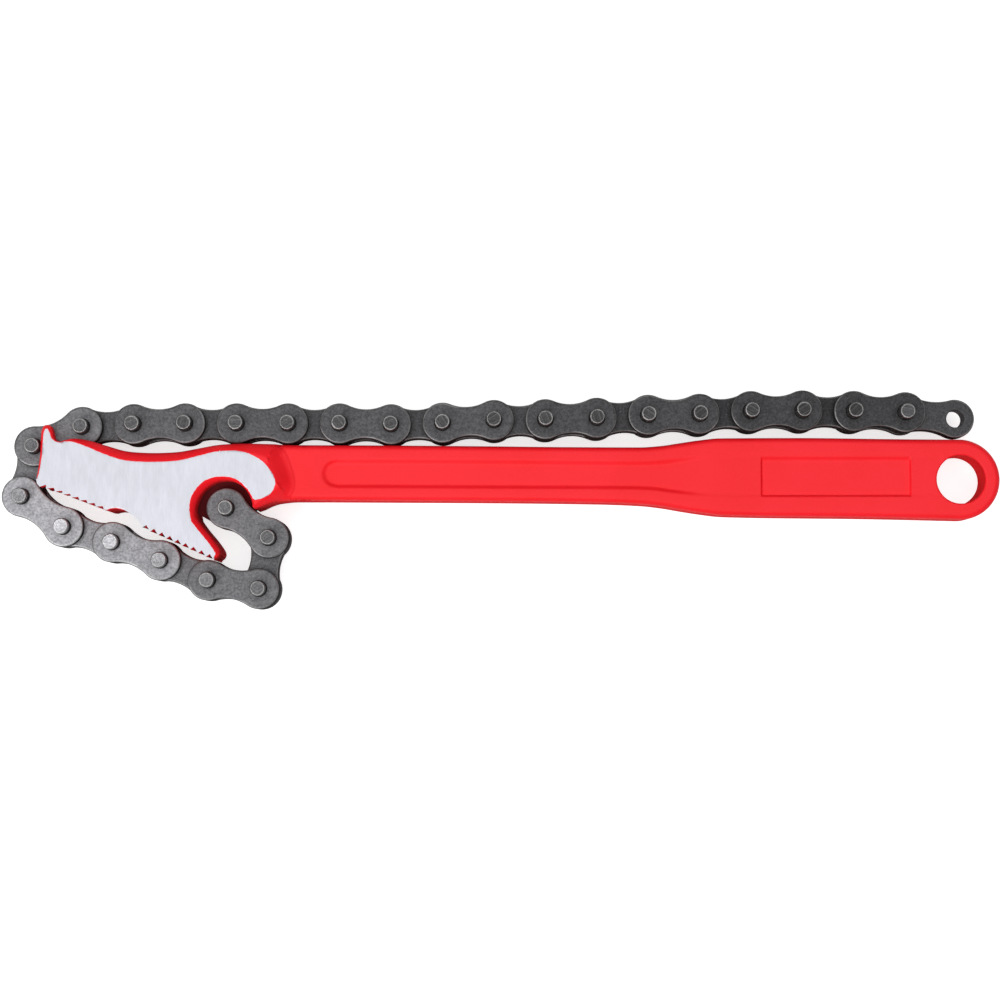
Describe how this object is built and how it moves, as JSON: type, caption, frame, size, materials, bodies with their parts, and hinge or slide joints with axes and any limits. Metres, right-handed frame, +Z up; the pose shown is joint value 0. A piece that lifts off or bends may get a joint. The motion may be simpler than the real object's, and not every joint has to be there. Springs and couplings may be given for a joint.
{
  "type": "chain pipe wrench",
  "caption": "Forged lever handle with a toothed, forked jaw and a leaf chain that wraps a pipe and hooks over the jaw's cheeks.",
  "frame": {"origin": "centre of the whole tool's box in plan, on the plane that the jaw's ground face and the pin ends lie on", "axes": "+X along the handle from jaw to hang hole, +Y towards the side where the loose chain lies, +Z up, out of the flat tool"},
  "size_m": [0.3072, 0.0674, 0.02],
  "materials": {
    "red_enamel": "glossy stove enamel over a forging, ground bare and brushed on the jaw faces",
    "blackened_steel": "oil-blackened plates with edges worn bright, pin ends spun bright at the rim"
  },
  "bodies": {
    "handle": {"handle_forging": "red_enamel"},
    "link_01": {"link_01_cover_front": "blackened_steel", "link_01_cover_back": "blackened_steel"},
    "link_02": {"link_02_inner_front": "blackened_steel", "link_02_inner_back": "blackened_steel"},
    "link_03": {"link_03_cover_front": "blackened_steel", "link_03_cover_back": "blackened_steel"},
    "link_04": {"link_04_inner_front": "blackened_steel", "link_04_inner_back": "blackened_steel"},
    "link_05": {"link_05_cover_front": "blackened_steel", "link_05_cover_back": "blackened_steel"},
    "link_06": {"link_06_inner_front": "blackened_steel", "link_06_inner_back": "blackened_steel"},
    "link_07": {"link_07_cover_front": "blackened_steel", "link_07_cover_back": "blackened_steel"},
    "link_08": {"link_08_inner_front": "blackened_steel", "link_08_inner_back": "blackened_steel"},
    "link_09": {"link_09_cover_front": "blackened_steel", "link_09_cover_back": "blackened_steel"},
    "link_10": {"link_10_inner_front": "blackened_steel", "link_10_inner_back": "blackened_steel"},
    "link_11": {"link_11_cover_front": "blackened_steel", "link_11_cover_back": "blackened_steel"},
    "link_12": {"link_12_inner_front": "blackened_steel", "link_12_inner_back": "blackened_steel"},
    "link_13": {"link_13_cover_front": "blackened_steel", "link_13_cover_back": "blackened_steel"},
    "link_14": {"link_14_inner_front": "blackened_steel", "link_14_inner_back": "blackened_steel"},
    "link_15": {"link_15_cover_front": "blackened_steel", "link_15_cover_back": "blackened_steel"},
    "link_16": {"link_16_inner_front": "blackened_steel", "link_16_inner_back": "blackened_steel"},
    "link_17": {"link_17_cover_front": "blackened_steel", "link_17_cover_back": "blackened_steel"},
    "link_18": {"link_18_inner_front": "blackened_steel", "link_18_inner_back": "blackened_steel"},
    "link_19": {"link_19_cover_front": "blackened_steel", "link_19_cover_back": "blackened_steel"},
    "link_20": {"link_20_inner_front": "blackened_steel", "link_20_inner_back": "blackened_steel"},
    "link_21": {"link_21_cover_front": "blackened_steel", "link_21_cover_back": "blackened_steel"},
    "link_22": {"link_22_inner_front": "blackened_steel", "link_22_inner_back": "blackened_steel"},
    "link_23": {"link_23_cover_front": "blackened_steel", "link_23_cover_back": "blackened_steel"},
    "link_24": {"link_24_inner_front": "blackened_steel", "link_24_inner_back": "blackened_steel"},
    "link_25": {"link_25_cover_front": "blackened_steel", "link_25_cover_back": "blackened_steel"},
    "link_26": {"link_26_inner_front": "blackened_steel", "link_26_inner_back": "blackened_steel"}
  },
  "joints": [
    {"name": "pin_01", "type": "hinge", "parent": "handle", "child": "link_01", "pos_m": [-0.08446, -0.00277, 0.01], "axis": [0, 0, 1], "range_deg": [0, 1.5]},
    {"name": "pin_02", "type": "hinge", "parent": "link_01", "child": "link_02", "pos_m": [-0.07146, -0.01187, 0.01], "axis": [0, 0, 1], "range_deg": [0, 1.25]},
    {"name": "pin_03", "type": "hinge", "parent": "link_02", "child": "link_03", "pos_m": [-0.07432, -0.02749, 0.01], "axis": [0, 0, 1], "range_deg": [0, 1.25]},
    {"name": "pin_04", "type": "hinge", "parent": "link_03", "child": "link_04", "pos_m": [-0.08998, -0.02487, 0.01], "axis": [0, 0, 1], "range_deg": [0, 2]},
    {"name": "pin_05", "type": "hinge", "parent": "link_04", "child": "link_05", "pos_m": [-0.10464, -0.01877, 0.01], "axis": [0, 0, 1], "range_deg": [0, 3]},
    {"name": "pin_06", "type": "hinge", "parent": "link_05", "child": "link_06", "pos_m": [-0.1195, -0.01318, 0.01], "axis": [0, 0, 1], "range_deg": [0, 9]},
    {"name": "pin_07", "type": "hinge", "parent": "link_06", "child": "link_07", "pos_m": [-0.13465, -0.00843, 0.01], "axis": [0, 0, 1], "range_deg": [0, 12]},
    {"name": "pin_08", "type": "hinge", "parent": "link_07", "child": "link_08", "pos_m": [-0.14749, 0.0009, 0.01], "axis": [0, 0, 1], "range_deg": [0, 120]},
    {"name": "pin_09", "type": "hinge", "parent": "link_08", "child": "link_09", "pos_m": [-0.14386, 0.01635, 0.01], "axis": [0, 0, 1], "range_deg": [0, 70]},
    {"name": "pin_10", "type": "hinge", "parent": "link_09", "child": "link_10", "pos_m": [-0.12918, 0.02238, 0.01], "axis": [0, 0, 1], "range_deg": [0, 33]},
    {"name": "pin_11", "type": "hinge", "parent": "link_10", "child": "link_11", "pos_m": [-0.11333, 0.02324, 0.01], "axis": [0, 0, 1], "range_deg": [0, 26]},
    {"name": "pin_12", "type": "hinge", "parent": "link_11", "child": "link_12", "pos_m": [-0.09745, 0.02346, 0.01], "axis": [0, 0, 1], "range_deg": [0, 26]},
    {"name": "pin_13", "type": "hinge", "parent": "link_12", "child": "link_13", "pos_m": [-0.08158, 0.02346, 0.01], "axis": [0, 0, 1], "range_deg": [0, 26]},
    {"name": "pin_14", "type": "hinge", "parent": "link_13", "child": "link_14", "pos_m": [-0.0657, 0.02346, 0.01], "axis": [0, 0, 1], "range_deg": [0, 27]},
    {"name": "pin_15", "type": "hinge", "parent": "link_14", "child": "link_15", "pos_m": [-0.04983, 0.02346, 0.01], "axis": [0, 0, 1], "range_deg": [0, 27]},
    {"name": "pin_16", "type": "hinge", "parent": "link_15", "child": "link_16", "pos_m": [-0.03395, 0.02321, 0.01], "axis": [0, 0, 1], "range_deg": [0, 27]},
    {"name": "pin_17", "type": "hinge", "parent": "link_16", "child": "link_17", "pos_m": [-0.01809, 0.02368, 0.01], "axis": [0, 0, 1], "range_deg": [0, 28]},
    {"name": "pin_18", "type": "hinge", "parent": "link_17", "child": "link_18", "pos_m": [-0.00223, 0.02451, 0.01], "axis": [0, 0, 1], "range_deg": [0, 30]},
    {"name": "pin_19", "type": "hinge", "parent": "link_18", "child": "link_19", "pos_m": [0.01364, 0.02476, 0.01], "axis": [0, 0, 1], "range_deg": [0, 32]},
    {"name": "pin_20", "type": "hinge", "parent": "link_19", "child": "link_20", "pos_m": [0.02951, 0.0252, 0.01], "axis": [0, 0, 1], "range_deg": [0, 33]},
    {"name": "pin_21", "type": "hinge", "parent": "link_20", "child": "link_21", "pos_m": [0.04536, 0.02612, 0.01], "axis": [0, 0, 1], "range_deg": [0, 35]},
    {"name": "pin_22", "type": "hinge", "parent": "link_21", "child": "link_22", "pos_m": [0.06123, 0.02642, 0.01], "axis": [0, 0, 1], "range_deg": [0, 40]},
    {"name": "pin_23", "type": "hinge", "parent": "link_22", "child": "link_23", "pos_m": [0.07708, 0.02728, 0.01], "axis": [0, 0, 1], "range_deg": [0, 50]},
    {"name": "pin_24", "type": "hinge", "parent": "link_23", "child": "link_24", "pos_m": [0.09296, 0.02747, 0.01], "axis": [0, 0, 1], "range_deg": [0, 59]},
    {"name": "pin_25", "type": "hinge", "parent": "link_24", "child": "link_25", "pos_m": [0.10883, 0.02731, 0.01], "axis": [0, 0, 1], "range_deg": [0, 68]},
    {"name": "pin_26", "type": "hinge", "parent": "link_25", "child": "link_26", "pos_m": [0.1247, 0.02692, 0.01], "axis": [0, 0, 1], "range_deg": [0, 77]}
  ]
}
